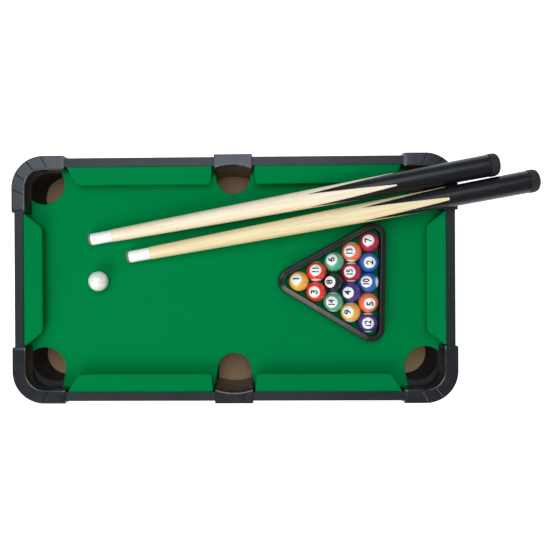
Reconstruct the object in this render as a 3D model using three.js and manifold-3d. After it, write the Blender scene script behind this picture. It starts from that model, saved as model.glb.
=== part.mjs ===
// A tabletop pool table with its triangle rack, fifteen numbered balls, cue ball and two cues.
// Millimetres. +X runs along the table towards the racked balls, +Y to the back and +Z up.
// The feet stand at z = 0, and the origin is below the middle of the whole set.
import * as THREE from "three";
import { mergeVertices } from "three/addons/utils/BufferGeometryUtils.js";
import Module from "manifold-3d";

const wasm = await Module();
wasm.setup();

// ---- Driving dimensions -------------------------------------------------------------------

// Heights above the surface that the table stands on.
const FOOT_TOP = 8;
const BASE_TOP = 11;
const BOARD_BOTTOM = 60.5;
const BOARD_TOP = 65.5;
const CLOTH_TOP = 66;
const RAIL_TOP = 85.5;
const CAP_TOP = 87;

// The wooden frame, in plan, measured from the middle of the table.
const FRAME_HALF_X = 252;
const FRAME_HALF_Y = 139.5;
const RAIL_WIDTH = 10;
const INNER_X = FRAME_HALF_X - RAIL_WIDTH;
const INNER_Y = FRAME_HALF_Y - RAIL_WIDTH;
const LONG_APRON_HALF = 203;
const END_APRON_HALF = 90;
const BEARER_X = 111;
const BEARER_WIDTH = 12;

// Plastic corner and middle caps.
const CAP_OVERHANG = 3;
const CAP_RADIUS = 37;
const CAP_INNER_RADIUS = 20.8;
const CAP_WALL = 3;
const CORNER_X = FRAME_HALF_X + CAP_OVERHANG - CAP_RADIUS;
const CORNER_Y = FRAME_HALF_Y + CAP_OVERHANG - CAP_RADIUS;
const ARM_END_X = 194;
const ARM_END_Y = 77.5;
const MIDDLE_CAP_HALF = 22;
const MIDDLE_CAP_LIP = 125.2;
const MIDDLE_CAP_HOLLOW = 3.9;
const MIDDLE_SKIRT_BOTTOM = 61;

// Pockets. The holes and liners sit a little nearer the back than the caps do. Each mouth is
// round towards the middle of the table and runs on to the rail, which it meets at railX.
const CORNER_SHIFT = 4.5;
const CORNER_HOLE = { x: 224.3, y: 109.4, radius: 24.6, railX: 204 };
const MIDDLE_SHIFT = 6.2;
const MIDDLE_HOLE = { y: 113.4, radius: 19.6, railX: 24.1 };
const CORNER_LINER = { x: 213.8, y: 98.8, radius: 26.5 };
const MIDDLE_LINER_RADIUS = 20.6;
const LINER_WALL = 1.5;
const LINER_GAP = 0.2;

// Cushions: a cloth-covered nose that overhangs its foot.
const CUSHION_DEPTH = 20.5;
const CUSHION_BACK_TOP = 84.3;
const CUSHION_NOSE_TOP = 80.6;
const CUSHION_NOSE_BOTTOM = 76.6;
const CUSHION_FOOT_DEPTH = 10;
const CUSHION_CORNER = 4;
const LONG_CUSHION = { railFrom: 24.3, noseFrom: 26, noseTo: 180, railTo: 192 };
const END_CUSHION = { railFrom: -77, noseFrom: -60, noseTo: 60, railTo: 77 };

// Feet and the screws that hold them.
const FOOT_X = 190;
const FOOT_Y = 123;
const FOOT_RADIUS = 11;
const SCREW_RADIUS = 1.75;
const SCREW_HEAD_RADIUS = 3.6;
const SCREW_CLEARANCE = 0.3;
const SCREW_TIP = 10.5;

// Balls and the rack round them.
const BALL_RADIUS = 11.5;
const BALL_PITCH = 23.1;
const APEX_BALL_X = 75.2;
const RACK_Y = -4.4;
const RACK_TURN = THREE.MathUtils.degToRad(-1.2);
const CUE_BALL = { x: -157.3, y: -1.9 };
const RACK_INSIDE = 12.7;
const RACK_INNER_RADIUS = 8.5;
const RACK_TOP_WALL = 5;
const RACK_BASE_WALL = 7.5;
const RACK_HEIGHT = 16;
const COLUMNS = [[1], [11, 3], [6, 8, 14], [13, 15, 4, 9], [7, 2, 10, 5, 12]];

// Cues, which lie with the tip on the cloth and the butt over a corner cap.
const CUE_TIP_RADIUS = 6.85;
const CUE_BUTT_RADIUS = 12.6;
const CUE_SWELL = 0.55;
const CUE_TIP_LENGTH = 3;
const FERRULE_LENGTH = 25;
const BUMPER_LENGTH = 11;
const PIECE_GAP = 0.3;
const REST_GAP = 0.05;
const CUES = [
  { name: "cue_1", tip: [-168.9, 46.2], butt: [293.2, 125.5], slope: 3.69 },
  { name: "cue_2", tip: [-124.4, 25.5], butt: [335, 107], slope: 4.05 },
];

// ---- Materials ----------------------------------------------------------------------------

const material = (color, roughness, metalness = 0) =>
  new THREE.MeshStandardMaterial({ color, roughness, metalness });

const BLACK_LAMINATE = material(0x2b2b2e, 0.45);
const BLACK_PLASTIC = material(0x303033, 0.5);
const DARK_LINER = material(0x1c1a19, 0.8);
const HARDBOARD = material(0x9a6b3c, 0.8);
const FIBREBOARD = material(0xb08a5c, 0.85);
const GREEN_CLOTH = material(0x007a3d, 0.95);
const RUBBER = material(0x1a1a1a, 0.85);
const STEEL = material(0xb8b8b8, 0.35, 1);
const IVORY_PLASTIC = material(0xf4efe2, 0.3);
const LEATHER = material(0x9b6a58, 0.9);
const CUE_WOOD = material(0xe3c79c, 0.35);
const BALL_COLOURS = {
  1: 0xf2a51e,
  2: 0x1f4fb4,
  3: 0xd7262b,
  4: 0x5a3486,
  5: 0xf05a28,
  6: 0x4fb59a,
  7: 0x8c1f2f,
  8: 0x141414,
};
const SOLID_BALLS = 8;

// ---- Geometry helpers ---------------------------------------------------------------------

function solidFrom(geometry) {
  const bare = geometry.clone();
  bare.deleteAttribute("normal");
  bare.deleteAttribute("uv");
  const merged = mergeVertices(bare, 1e-4);
  return new wasm.Manifold(
    new wasm.Mesh({
      numProp: 3,
      vertProperties: merged.attributes.position.array,
      triVerts: new Uint32Array(merged.index.array),
    }),
  );
}

function geometryFrom(solid) {
  const mesh = solid.getMesh();
  const geometry = new THREE.BufferGeometry();
  geometry.setAttribute("position", new THREE.BufferAttribute(mesh.vertProperties, 3));
  geometry.setIndex(new THREE.BufferAttribute(mesh.triVerts, 1));
  geometry.computeVertexNormals();
  return geometry;
}

function join(first, ...others) {
  return geometryFrom(others.reduce((sum, g) => sum.add(solidFrom(g)), solidFrom(first)));
}

function cut(first, ...tools) {
  return geometryFrom(tools.reduce((rest, g) => rest.subtract(solidFrom(g)), solidFrom(first)));
}

function common(first, second) {
  return geometryFrom(solidFrom(first).intersect(solidFrom(second)));
}

// A box between two corners.
function block([x0, y0, z0], [x1, y1, z1]) {
  const box = new THREE.BoxGeometry(x1 - x0, y1 - y0, z1 - z0);
  return box.translate((x0 + x1) / 2, (y0 + y1) / 2, (z0 + z1) / 2);
}

// A plan outline raised from one height to another.
function slab(outline, bottom, top, curveSegments = 4) {
  const depth = top - bottom;
  const raised = new THREE.ExtrudeGeometry(outline, { depth, bevelEnabled: false, curveSegments });
  return raised.translate(0, 0, bottom);
}

function drum(x, y, radius, bottom, top, sides = 28) {
  const cylinder = new THREE.CylinderGeometry(radius, radius, top - bottom, sides);
  return cylinder.rotateX(Math.PI / 2).translate(x, y, (bottom + top) / 2);
}

// A plan outline through points, raised from one height to another.
function slabThrough(points, bottom, top) {
  return slab(new THREE.Shape(points.map(([x, y]) => new THREE.Vector2(x, y))), bottom, top);
}

// A solid of revolution about +Z, from [radius, height] points.
function turned(profile, sides) {
  const points = profile.map(([radius, height]) => new THREE.Vector2(radius, height));
  return new THREE.LatheGeometry(points, sides).rotateX(Math.PI / 2);
}

// A ring-shaped solid: each closed loop of points is joined to the next, and the last to the first.
function ringThrough(loops) {
  const count = loops[0].length;
  const corner = (loop, point) => (loop % loops.length) * count + (point % count);
  const faces = [];
  for (let loop = 0; loop < loops.length; loop++) {
    for (let point = 0; point < count; point++) {
      const here = corner(loop, point);
      const along = corner(loop, point + 1);
      const up = corner(loop + 1, point);
      const diagonal = corner(loop + 1, point + 1);
      faces.push(here, along, diagonal, here, diagonal, up);
    }
  }
  const geometry = new THREE.BufferGeometry();
  geometry.setAttribute("position", new THREE.Float32BufferAttribute(loops.flat(2), 3));
  geometry.setIndex(faces);
  return geometry;
}

const table = new THREE.Group();

function addPiece(name, geometry, look, parent = table) {
  const mesh = new THREE.Mesh(geometry, look);
  mesh.name = name;
  parent.add(mesh);
  return mesh;
}

const CORNERS = [
  { name: "front_left", sideX: -1, sideY: -1 },
  { name: "front_right", sideX: 1, sideY: -1 },
  { name: "back_left", sideX: -1, sideY: 1 },
  { name: "back_right", sideX: 1, sideY: 1 },
];
const SIDES = [
  { name: "front", sideY: -1 },
  { name: "back", sideY: 1 },
];

// ---- Frame --------------------------------------------------------------------------------

function roundedRectangle(halfX, halfY, radius) {
  const outline = new THREE.Shape();
  outline.absarc(halfX - radius, halfY - radius, radius, 0, Math.PI / 2);
  outline.absarc(radius - halfX, halfY - radius, radius, Math.PI / 2, Math.PI);
  outline.absarc(radius - halfX, radius - halfY, radius, Math.PI, Math.PI * 1.5);
  outline.absarc(halfX - radius, radius - halfY, radius, Math.PI * 1.5, Math.PI * 2);
  return outline;
}

function addBottomBoard() {
  const outline = roundedRectangle(FRAME_HALF_X, FRAME_HALF_Y, CAP_RADIUS - CAP_OVERHANG);
  const board = slab(outline, FOOT_TOP, BASE_TOP);
  const screwHoles = CORNERS.map(({ sideX, sideY }) =>
    drum(sideX * FOOT_X, sideY * FOOT_Y, SCREW_RADIUS + SCREW_CLEARANCE, 0, CAP_TOP, 12),
  );
  addPiece("bottom_board", cut(board, ...screwHoles), HARDBOARD);
}

function addAprons() {
  for (const { name, sideY } of SIDES) {
    const apron = block([-LONG_APRON_HALF, INNER_Y, BASE_TOP], [LONG_APRON_HALF, FRAME_HALF_Y, RAIL_TOP]);
    addPiece(`apron_${name}`, apron, BLACK_LAMINATE).scale.y = sideY;
  }
  for (const [name, sideX] of [["left", -1], ["right", 1]]) {
    const apron = block([INNER_X, -END_APRON_HALF, BASE_TOP], [FRAME_HALF_X, END_APRON_HALF, RAIL_TOP]);
    addPiece(`apron_${name}`, apron, BLACK_LAMINATE).scale.x = sideX;
  }
}

function addBedBearers() {
  const half = BEARER_WIDTH / 2;
  for (const [name, x] of [["left", -BEARER_X], ["right", BEARER_X]]) {
    const bearer = block([x - half, -INNER_Y, BASE_TOP], [x + half, INNER_Y, BOARD_BOTTOM]);
    addPiece(`bed_bearer_${name}`, bearer, FIBREBOARD);
  }
}

// ---- Playfield and pockets ----------------------------------------------------------------

// A sheet the size of the playfield with six pocket mouths cut through its edges.
function pocketedSheet(bottom, top) {
  const mouths = [];
  for (const { sideX, sideY } of CORNERS) {
    const { x, radius, railX } = CORNER_HOLE;
    const y = sideY * CORNER_HOLE.y + CORNER_SHIFT;
    const farX = sideX * FRAME_HALF_X;
    const farY = sideY * FRAME_HALF_Y;
    const corner = [
      [sideX * (x - radius), y],
      [sideX * railX, sideY * INNER_Y],
      [sideX * railX, farY],
      [farX, farY],
      [farX, y],
    ];
    mouths.push(drum(sideX * x, y, radius, 0, CAP_TOP), slabThrough(corner, 0, CAP_TOP));
  }
  for (const { sideY } of SIDES) {
    const { radius, railX } = MIDDLE_HOLE;
    const y = sideY * MIDDLE_HOLE.y + MIDDLE_SHIFT;
    const farY = sideY * FRAME_HALF_Y;
    const flare = [
      [-radius, y],
      [-railX, sideY * INNER_Y],
      [-railX, farY],
      [railX, farY],
      [railX, sideY * INNER_Y],
      [radius, y],
    ];
    mouths.push(drum(0, y, radius, 0, CAP_TOP), slabThrough(flare, 0, CAP_TOP));
  }
  return cut(block([-INNER_X, -INNER_Y, bottom], [INNER_X, INNER_Y, top]), ...mouths);
}

function addPlayfield() {
  addPiece("playfield_board", pocketedSheet(BOARD_BOTTOM, BOARD_TOP), FIBREBOARD);
  addPiece("playfield_cloth", pocketedSheet(BOARD_TOP, CLOTH_TOP), GREEN_CLOTH);
}

// A round liner with a collar at its top that fills the corner of the frame outside it.
function cornerLiner(y) {
  const { x, radius } = CORNER_LINER;
  const bore = drum(x, y, radius, 0, CAP_TOP);
  const wall = drum(x, y, radius + LINER_WALL, BASE_TOP, BOARD_BOTTOM);
  const inside = roundedRectangle(INNER_X, INNER_Y, INNER_Y - CORNER_Y);
  const collar = common(
    slab(inside, BOARD_BOTTOM - LINER_WALL, BOARD_BOTTOM),
    block([x, y, 0], [FRAME_HALF_X, FRAME_HALF_Y, CAP_TOP]),
  );
  return cut(join(wall, collar), bore);
}

// A liner that is round towards the middle of the table, with straight sides up to the cap.
function middleLiner(y) {
  const reach = FRAME_HALF_Y;
  const trough = (radius, bottom, top) =>
    join(drum(0, y, radius, bottom, top), block([-radius, y, bottom], [radius, reach, top]));
  const outside = trough(MIDDLE_LINER_RADIUS + LINER_WALL, BASE_TOP, BOARD_BOTTOM);
  const wall = cut(outside, trough(MIDDLE_LINER_RADIUS, 0, CAP_TOP));
  return common(wall, block([-reach, 0, 0], [reach, MIDDLE_CAP_LIP - LINER_GAP, CAP_TOP]));
}

function addLiners() {
  for (const { name, sideX, sideY } of CORNERS) {
    const liner = cornerLiner(CORNER_LINER.y + sideY * CORNER_SHIFT);
    addPiece(`corner_liner_${name}`, liner, DARK_LINER).scale.set(sideX, sideY, 1);
  }
  for (const { name, sideY } of SIDES) {
    const liner = middleLiner(MIDDLE_HOLE.y + sideY * MIDDLE_SHIFT);
    addPiece(`middle_liner_${name}`, liner, DARK_LINER).scale.y = sideY;
  }
}

// ---- Cushions -----------------------------------------------------------------------------

// Moves a shape's pen to the start of a rounded corner and round it.
function roundCorner(outline, before, corner, after) {
  const start = corner.clone().add(before.clone().sub(corner).setLength(CUSHION_CORNER));
  const end = corner.clone().add(after.clone().sub(corner).setLength(CUSHION_CORNER));
  outline.lineTo(start.x, start.y);
  outline.quadraticCurveTo(corner.x, corner.y, end.x, end.y);
}

// Local frame: +X along the cushion, y = 0 at the rail, +Y towards the middle of the table.
function cushionSolid({ railFrom, noseFrom, noseTo, railTo }) {
  const railStart = new THREE.Vector2(railFrom, 0);
  const railEnd = new THREE.Vector2(railTo, 0);
  const noseStart = new THREE.Vector2(noseFrom, CUSHION_DEPTH);
  const noseEnd = new THREE.Vector2(noseTo, CUSHION_DEPTH);
  const plan = new THREE.Shape();
  plan.moveTo(railStart.x, railStart.y);
  plan.lineTo(railEnd.x, railEnd.y);
  roundCorner(plan, railEnd, noseEnd, noseStart);
  roundCorner(plan, noseEnd, noseStart, railStart);
  plan.closePath();

  const section = new THREE.Shape();
  section.moveTo(0, CLOTH_TOP);
  section.lineTo(CUSHION_FOOT_DEPTH, CLOTH_TOP);
  section.lineTo(CUSHION_DEPTH, CUSHION_NOSE_BOTTOM);
  section.lineTo(CUSHION_DEPTH, CUSHION_NOSE_TOP);
  section.lineTo(0, CUSHION_BACK_TOP);
  section.closePath();
  // The section is drawn across (y, z) and runs along x.
  const length = railTo - railFrom;
  const bar = slab(section, 0, length);
  bar.applyMatrix4(
    new THREE.Matrix4().makeBasis(
      new THREE.Vector3(0, 1, 0),
      new THREE.Vector3(0, 0, 1),
      new THREE.Vector3(1, 0, 0),
    ),
  );
  bar.translate(railFrom, 0, 0);
  return common(bar, slab(plan, CLOTH_TOP, CAP_TOP));
}

function addCushions() {
  for (const { name, sideX, sideY } of CORNERS) {
    const cushion = addPiece(`cushion_${name}`, cushionSolid(LONG_CUSHION), GREEN_CLOTH);
    cushion.position.y = sideY * INNER_Y;
    cushion.scale.set(sideX, -sideY, 1);
  }
  for (const [name, sideX] of [["left", -1], ["right", 1]]) {
    const cushion = addPiece(`cushion_${name}`, cushionSolid(END_CUSHION), GREEN_CLOTH);
    cushion.position.x = sideX * INNER_X;
    cushion.rotation.z = (sideX * Math.PI) / 2;
  }
}

// ---- Caps ---------------------------------------------------------------------------------

// Plan of a band along both arms of a corner that bends round it between two radii.
function cornerBand(outerRadius, innerRadius) {
  const band = new THREE.Shape();
  band.moveTo(ARM_END_X, CORNER_Y + outerRadius);
  band.absarc(CORNER_X, CORNER_Y, outerRadius, Math.PI / 2, 0, true);
  band.lineTo(CORNER_X + outerRadius, ARM_END_Y);
  band.lineTo(CORNER_X + innerRadius, ARM_END_Y);
  band.absarc(CORNER_X, CORNER_Y, innerRadius, 0, Math.PI / 2, false);
  band.lineTo(ARM_END_X, CORNER_Y + innerRadius);
  band.closePath();
  return band;
}

function addCornerCaps() {
  const railInnerRadius = INNER_Y - CORNER_Y;
  for (const { name, sideX, sideY } of CORNERS) {
    const plate = slab(cornerBand(CAP_RADIUS, CAP_INNER_RADIUS), RAIL_TOP, CAP_TOP);
    const skirt = slab(cornerBand(CAP_RADIUS, CAP_RADIUS - CAP_WALL), FOOT_TOP, CAP_TOP);
    const lip = slab(cornerBand(railInnerRadius, CAP_INNER_RADIUS), CLOTH_TOP, CAP_TOP);
    addPiece(`corner_cap_${name}`, join(plate, skirt, lip), BLACK_PLASTIC).scale.set(sideX, sideY, 1);
  }
}

// Plan of a middle cap's top between its hollowed inner edge and the given outer edge.
function middleCapPlan(outerY) {
  const plan = new THREE.Shape();
  plan.moveTo(-MIDDLE_CAP_HALF, outerY);
  plan.lineTo(-MIDDLE_CAP_HALF, MIDDLE_CAP_LIP);
  plan.quadraticCurveTo(0, MIDDLE_CAP_LIP + 2 * MIDDLE_CAP_HOLLOW, MIDDLE_CAP_HALF, MIDDLE_CAP_LIP);
  plan.lineTo(MIDDLE_CAP_HALF, outerY);
  plan.closePath();
  return plan;
}

function addMiddleCaps() {
  const outerY = FRAME_HALF_Y + CAP_OVERHANG;
  for (const { name, sideY } of SIDES) {
    const plate = slab(middleCapPlan(outerY), RAIL_TOP, CAP_TOP, 8);
    const lip = slab(middleCapPlan(INNER_Y), BASE_TOP, CAP_TOP, 8);
    const skirt = block(
      [-MIDDLE_CAP_HALF, FRAME_HALF_Y, MIDDLE_SKIRT_BOTTOM],
      [MIDDLE_CAP_HALF, outerY, CAP_TOP],
    );
    addPiece(`middle_cap_${name}`, join(plate, lip, skirt), BLACK_PLASTIC).scale.y = sideY;
  }
}

// ---- Feet ---------------------------------------------------------------------------------

function footSolid() {
  const holeRadius = SCREW_RADIUS + SCREW_CLEARANCE;
  const recessRadius = SCREW_HEAD_RADIUS + SCREW_CLEARANCE;
  const recessTop = 3.5;
  const profile = [
    [recessRadius, 0],
    [FOOT_RADIUS - 0.8, 0],
    [FOOT_RADIUS, 1],
    [FOOT_RADIUS - 1.5, FOOT_TOP],
    [holeRadius, FOOT_TOP],
    [holeRadius, recessTop],
    [recessRadius, recessTop],
    [recessRadius, 0],
  ];
  return turned(profile, 16);
}

function screwSolid() {
  const headBottom = 1.2;
  const headTop = 3.4;
  const profile = [
    [0, headBottom],
    [SCREW_HEAD_RADIUS - 0.8, headBottom],
    [SCREW_HEAD_RADIUS, headTop - 1],
    [SCREW_HEAD_RADIUS, headTop],
    [SCREW_RADIUS, headTop],
    [SCREW_RADIUS, SCREW_TIP - 1],
    [0, SCREW_TIP],
  ];
  return turned(profile, 12);
}

function addFeet() {
  for (const { name, sideX, sideY } of CORNERS) {
    const foot = addPiece(`foot_${name}`, footSolid(), RUBBER);
    const screw = addPiece(`foot_screw_${name}`, screwSolid(), STEEL);
    for (const piece of [foot, screw]) piece.position.set(sideX * FOOT_X, sideY * FOOT_Y, 0);
  }
}

// ---- Balls and rack -----------------------------------------------------------------------

const COLUMN_STEP = (BALL_PITCH * Math.sqrt(3)) / 2;
const LAST_COLUMN = COLUMNS.length - 1;
const RACK_MIDDLE = new THREE.Vector2(APEX_BALL_X + (LAST_COLUMN * COLUMN_STEP * 2) / 3, RACK_Y);

function addBall(name, x, y, look) {
  const ball = new THREE.SphereGeometry(BALL_RADIUS, 16, 10).rotateX(Math.PI / 2);
  addPiece(name, ball, look).position.set(x, y, CLOTH_TOP + BALL_RADIUS);
}

function addBalls() {
  COLUMNS.forEach((numbers, column) => {
    numbers.forEach((number, place) => {
      const spot = new THREE.Vector2(
        APEX_BALL_X + column * COLUMN_STEP,
        RACK_Y + ((numbers.length - 1) / 2 - place) * BALL_PITCH,
      ).rotateAround(RACK_MIDDLE, RACK_TURN);
      const colour = BALL_COLOURS[number > SOLID_BALLS ? number - SOLID_BALLS : number];
      addBall(`ball_${String(number).padStart(2, "0")}`, spot.x, spot.y, material(colour, 0.15));
    });
  });
  addBall("cue_ball", CUE_BALL.x, CUE_BALL.y, IVORY_PLASTIC);
}

// A triangle pointing to -X at one height, with rounded corners about three fixed centres.
function rackLoop(cornerRadius, height) {
  const reach = (LAST_COLUMN * BALL_PITCH) / Math.sqrt(3) + 2 * (RACK_INSIDE - RACK_INNER_RADIUS);
  const steps = 6;
  const loop = [];
  for (const direction of [180, 300, 420]) {
    const towards = THREE.MathUtils.degToRad(direction) + RACK_TURN;
    for (let step = 0; step <= steps; step++) {
      const angle = towards + (step / steps - 0.5) * ((Math.PI * 2) / 3);
      loop.push([
        RACK_MIDDLE.x + reach * Math.cos(towards) + cornerRadius * Math.cos(angle),
        RACK_MIDDLE.y + reach * Math.sin(towards) + cornerRadius * Math.sin(angle),
        height,
      ]);
    }
  }
  return loop;
}

function addRack() {
  const top = CLOTH_TOP + RACK_HEIGHT;
  const rack = ringThrough([
    rackLoop(RACK_INNER_RADIUS, CLOTH_TOP),
    rackLoop(RACK_INNER_RADIUS + RACK_BASE_WALL, CLOTH_TOP),
    rackLoop(RACK_INNER_RADIUS + RACK_TOP_WALL, top),
    rackLoop(RACK_INNER_RADIUS, top),
  ]);
  addPiece("rack", rack, BLACK_PLASTIC);
}

// ---- Cues ---------------------------------------------------------------------------------

// Radius of a cue at a share of its length from the tip: a taper that swells a little.
function cueRadius(share) {
  const taper = CUE_TIP_RADIUS + (CUE_BUTT_RADIUS - CUE_TIP_RADIUS) * share;
  return taper + 4 * CUE_SWELL * share * (1 - share);
}

function addCue({ name, tip, butt, slope }) {
  const rise = THREE.MathUtils.degToRad(slope);
  const run = new THREE.Vector2(butt[0] - tip[0], butt[1] - tip[1]);
  const length = run.length() / Math.cos(rise);
  const direction = new THREE.Vector3(run.x, run.y, run.length() * Math.tan(rise)).normalize();

  const cue = new THREE.Group();
  cue.quaternion.setFromUnitVectors(new THREE.Vector3(0, 0, 1), direction);
  cue.position.set(tip[0], tip[1], CLOTH_TOP + REST_GAP + CUE_TIP_RADIUS * Math.cos(rise));
  table.add(cue);

  const sides = 16;
  const ferruleStart = CUE_TIP_LENGTH + PIECE_GAP;
  const ferruleEnd = ferruleStart + FERRULE_LENGTH;
  const stickStart = ferruleEnd + PIECE_GAP;
  const bumperStart = length - BUMPER_LENGTH;
  const stickEnd = bumperStart - PIECE_GAP;
  const rim = CUE_TIP_RADIUS;

  const tipProfile = [[0, 0], [rim * 0.6, 0.4], [rim * 0.95, 1.6], [rim, CUE_TIP_LENGTH], [0, CUE_TIP_LENGTH]];
  addPiece(`${name}_tip`, turned(tipProfile, sides), LEATHER, cue);

  const ferruleProfile = [[0, ferruleStart], [rim, ferruleStart], [rim, ferruleEnd], [0, ferruleEnd]];
  addPiece(`${name}_ferrule`, turned(ferruleProfile, sides), IVORY_PLASTIC, cue);

  const stickProfile = [[0, stickStart]];
  const stations = 8;
  for (let station = 0; station <= stations; station++) {
    const along = stickStart + ((stickEnd - stickStart) * station) / stations;
    stickProfile.push([cueRadius(along / length), along]);
  }
  stickProfile.push([0, stickEnd]);
  addPiece(`${name}_stick`, turned(stickProfile, sides), CUE_WOOD, cue);

  const bumperRim = CUE_BUTT_RADIUS + 0.3;
  const bumperProfile = [
    [0, bumperStart],
    [bumperRim, bumperStart],
    [bumperRim, length - 5],
    [bumperRim * 0.85, length - 1.5],
    [bumperRim * 0.5, length],
    [0, length],
  ];
  addPiece(`${name}_bumper`, turned(bumperProfile, sides), RUBBER, cue);
}

// ---- The whole set ------------------------------------------------------------------------

addBottomBoard();
addAprons();
addBedBearers();
addPlayfield();
addLiners();
addCushions();
addCornerCaps();
addMiddleCaps();
addFeet();
addBalls();
addRack();
CUES.forEach(addCue);

// The cues overhang one end, so the table moves over to put the origin under the set's middle.
const bounds = new THREE.Box3().setFromObject(table, true);
table.position.x = -(bounds.min.x + bounds.max.x) / 2;
table.position.y = -(bounds.min.y + bounds.max.y) / 2;

const set = new THREE.Group();
set.add(table);

export default set;
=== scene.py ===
"""The finished look of a tabletop pool table set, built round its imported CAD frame.

Lengths are in metres. Plans are drawn from the middle of the table, with +X towards the racked
balls and +Y to the back, and heights are measured from the surface that the feet stand on.
"""

import math

import bmesh
import bpy
from mathutils import Matrix, Vector


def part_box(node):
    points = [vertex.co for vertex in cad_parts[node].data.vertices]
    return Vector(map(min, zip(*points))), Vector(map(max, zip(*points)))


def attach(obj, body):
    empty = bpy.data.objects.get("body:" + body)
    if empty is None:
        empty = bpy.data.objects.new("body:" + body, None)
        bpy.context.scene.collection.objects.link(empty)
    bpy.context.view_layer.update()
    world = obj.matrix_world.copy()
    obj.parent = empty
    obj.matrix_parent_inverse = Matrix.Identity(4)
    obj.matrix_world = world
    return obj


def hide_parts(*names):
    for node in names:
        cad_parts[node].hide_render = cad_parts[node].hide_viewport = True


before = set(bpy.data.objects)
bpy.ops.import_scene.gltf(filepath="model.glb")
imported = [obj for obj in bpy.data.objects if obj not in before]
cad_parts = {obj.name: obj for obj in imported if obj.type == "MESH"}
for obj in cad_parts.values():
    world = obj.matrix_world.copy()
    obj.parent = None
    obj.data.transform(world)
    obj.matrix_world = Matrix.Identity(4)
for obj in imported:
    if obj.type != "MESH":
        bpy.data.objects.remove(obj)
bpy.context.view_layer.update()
scene = bpy.context.scene

MM = 0.001

# ---- Places from the frame ------------------------------------------------------------------

board_low, board_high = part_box("bottom_board")
MIDDLE = Vector(((board_low.x + board_high.x) / 2, (board_low.y + board_high.y) / 2, 0))


def box(node):
    """Lowest and highest corner of a CAD node, from the middle of the table."""
    low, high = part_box(node)
    return low - MIDDLE, high - MIDDLE


def middle_of(node):
    low, high = box(node)
    return (low + high) / 2


FRAME_HALF = box("bottom_board")[1]
BOARD_LEVEL = box("bottom_board")[1].z
BOARD_BOTTOM = box("playfield_board")[0].z
BOARD_TOP = box("playfield_board")[1].z
CLOTH_TOP = box("playfield_cloth")[1].z
FIELD_HALF = box("playfield_cloth")[1]
RAIL_TOP = box("apron_back")[1].z
CORNER_CAP_LOW, CORNER_CAP_HIGH = box("corner_cap_back_right")
MIDDLE_CAP_LOW, MIDDLE_CAP_HIGH = box("middle_cap_back")
CAP_TOP = CORNER_CAP_HIGH.z
CUSHION_LOW, CUSHION_HIGH = box("cushion_back_right")

CORNERS = [
    ("front_left", -1, -1),
    ("front_right", 1, -1),
    ("back_left", -1, 1),
    ("back_right", 1, 1),
]
SIDES = [("front", -1), ("back", 1)]
ENDS = [("left", -1), ("right", 1)]

# ---- Dimensions that boxes don't give -------------------------------------------------------

CAP_RADIUS = 37 * MM
CAP_INNER_RADIUS = 20.8 * MM
CAP_WALL = 3 * MM
CAP_LIP = 3.2 * MM
MIDDLE_CAP_HOLLOW = 3.9 * MM
MIDDLE_SKIRT_BOTTOM = 61 * MM
BOARD_RADIUS = 34 * MM

CORNER_SHIFT = 4.5 * MM
CORNER_MOUTH = Vector((224.3 * MM, 109.4 * MM))
CORNER_MOUTH_RADIUS = 24.6 * MM
CORNER_MOUTH_RAIL = 204 * MM
MIDDLE_SHIFT = 6.2 * MM
MIDDLE_MOUTH_Y = 113.4 * MM
MIDDLE_MOUTH_RADIUS = 19.6 * MM
MIDDLE_MOUTH_RAIL = 24.1 * MM
CORNER_LINER = Vector((213.8 * MM, 98.8 * MM))
CORNER_LINER_RADIUS = 26.5 * MM
MIDDLE_LINER_RADIUS = 20.6 * MM
LINER_WALL = 1.5 * MM
COLLAR_END = 197 * MM
LINER_GAP = 0.2 * MM
CLOTH_THICKNESS = 0.45 * MM
MOUTH_EASE = 6 * MM
BOARD_SET_BACK = 0.5 * MM
HOLE_PLAY = 0.3 * MM

CUSHION_FOOT = 10 * MM
CUSHION_NOSE_BOTTOM = 10.6 * MM
CUSHION_NOSE_TOP = 14.6 * MM
CUSHION_CORNER = 4 * MM
LONG_CUSHION_NOSE = (26 * MM, 180 * MM)
END_CUSHION_NOSE = 60 * MM
CLOTH_SLACK = 0.1 * MM

FOOT_RADIUS = 11 * MM
SCREW_RADIUS = 1.75 * MM
SCREW_HEAD_RADIUS = 3.6 * MM

RACK_INSIDE = 12.7 * MM
RACK_INNER_RADIUS = 8.5 * MM

CUE_TIP_RADIUS = 6.8 * MM
CUE_BUTT_RADIUS = 12.5 * MM
CUE_SWELL = 0.55 * MM

# ---- Meshes ---------------------------------------------------------------------------------


def new_object(name, bm):
    """An object of the scene made from a bmesh, which is freed."""
    mesh = bpy.data.meshes.new(name)
    bm.to_mesh(mesh)
    bm.free()
    made = bpy.data.objects.new(name, mesh)
    scene.collection.objects.link(made)
    return made


def add_piece(bm, name, body, looks, stands_for, matrix=None, sharp=35):
    """Makes a shown piece from a bmesh, riding on a body in place of CAD nodes."""
    bmesh.ops.recalc_face_normals(bm, faces=bm.faces)
    piece = new_object(name, bm)
    for look in looks:
        piece.data.materials.append(look)
    piece.data.shade_smooth()
    piece.data.set_sharp_from_angle(angle=math.radians(sharp))
    piece.matrix_world = matrix or Matrix.Translation(MIDDLE)
    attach(piece, body)
    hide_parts(*stands_for)
    return piece


def mirror(bm, side_x, side_y):
    bmesh.ops.scale(bm, vec=(side_x, side_y, 1), verts=bm.verts)


def join_loops(bm, loops, material=0):
    """Joins each closed loop of vertices to the next with quads."""
    count = len(loops[0])
    for here, there in zip(loops, loops[1:]):
        for i in range(count):
            j = (i + 1) % count
            face = bm.faces.new((here[i], here[j], there[j], there[i]))
            face.material_index = material


def add_loop(bm, points):
    return [bm.verts.new(point) for point in points]


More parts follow.
